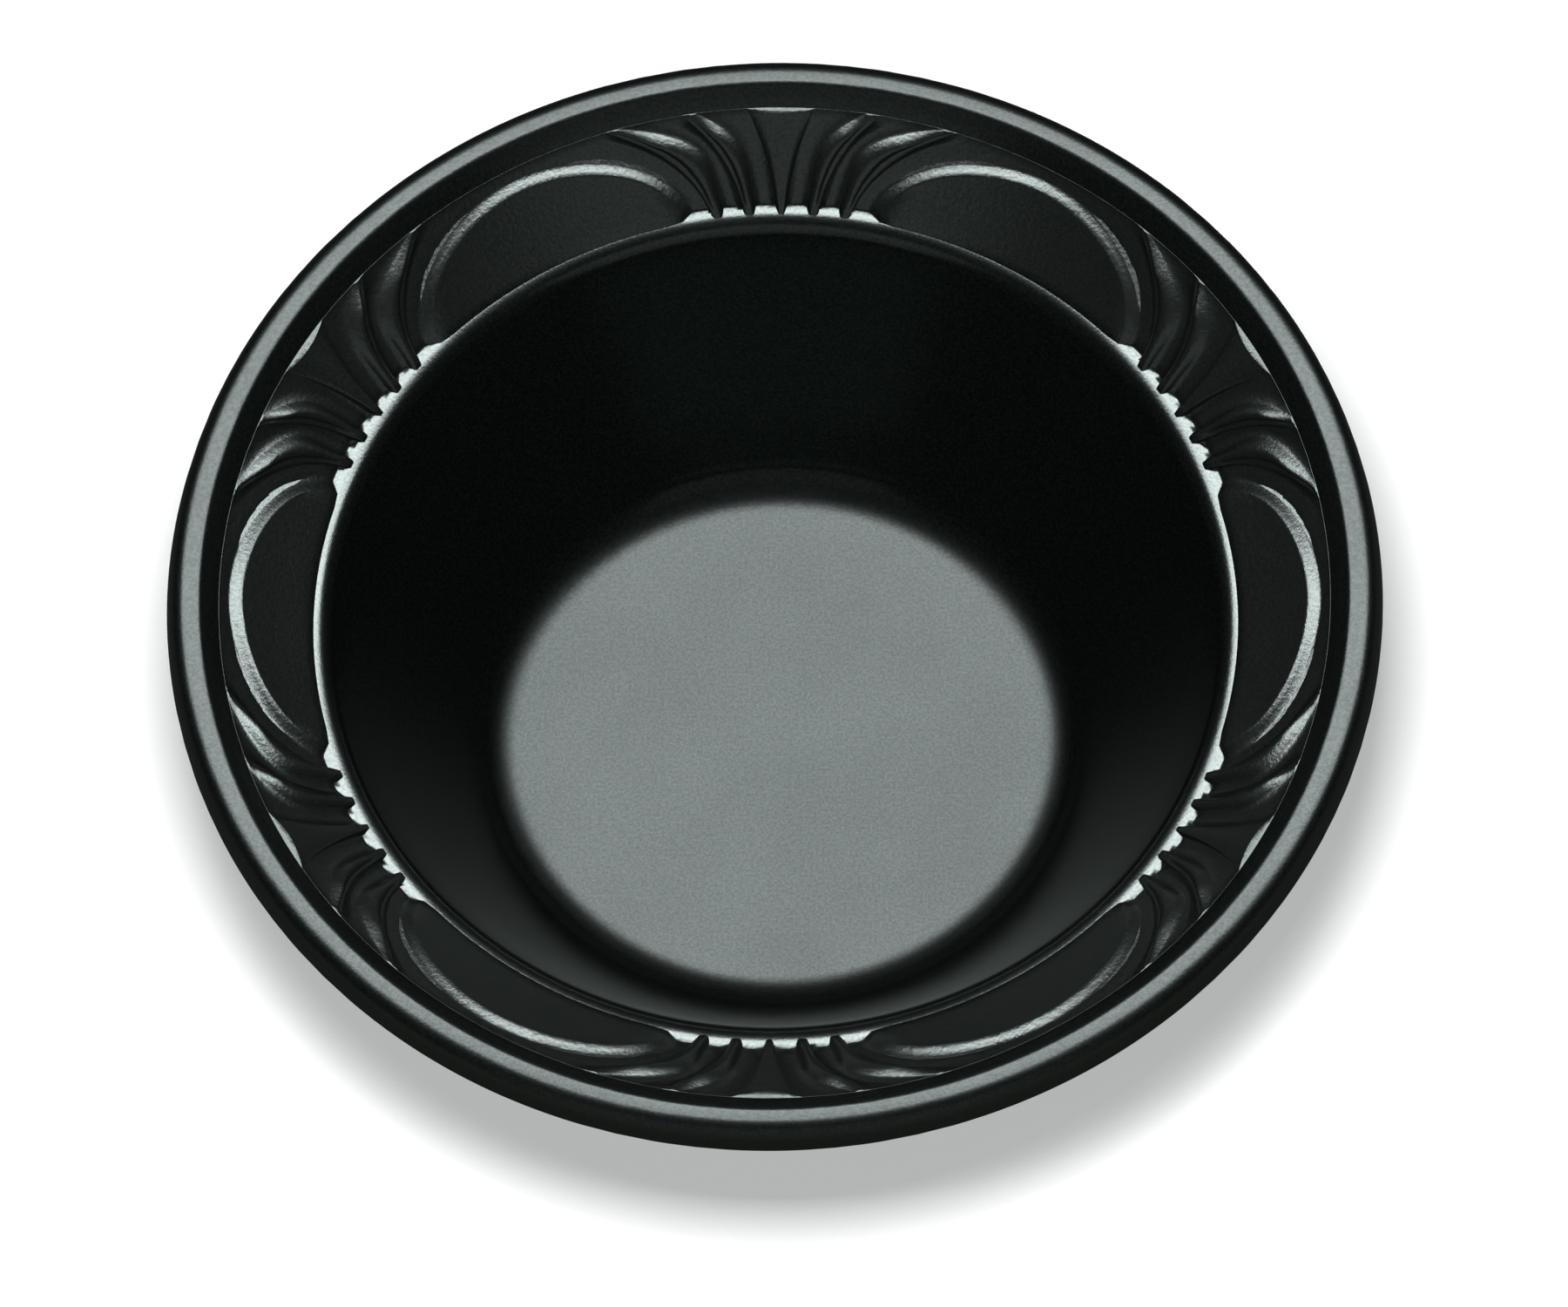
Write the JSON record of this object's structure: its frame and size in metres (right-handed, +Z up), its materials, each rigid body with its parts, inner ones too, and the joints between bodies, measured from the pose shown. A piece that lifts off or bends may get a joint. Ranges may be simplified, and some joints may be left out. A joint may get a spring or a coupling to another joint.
{
  "type": "laminated foam bowl",
  "caption": "Round disposable food bowl: pressed foam body with a bonded film lining, steep well, flat ledge and a broad sloped rim embossed with fluted fans and arched panels",
  "frame": {"origin": "centre of the base, at the level that the bowl stands on", "axes": "+Z up along the bowl's axis; +X midway between two fans, through an arched panel"},
  "size_m": [0.1524, 0.1524, 0.0466],
  "materials": {
    "foam": "matte, fine closed-cell foam",
    "film": "satin to glossy film with a fine speckle"
  },
  "bodies": {
    "root": {"foam_body": "foam", "film_lining": "film"}
  },
  "joints": []
}
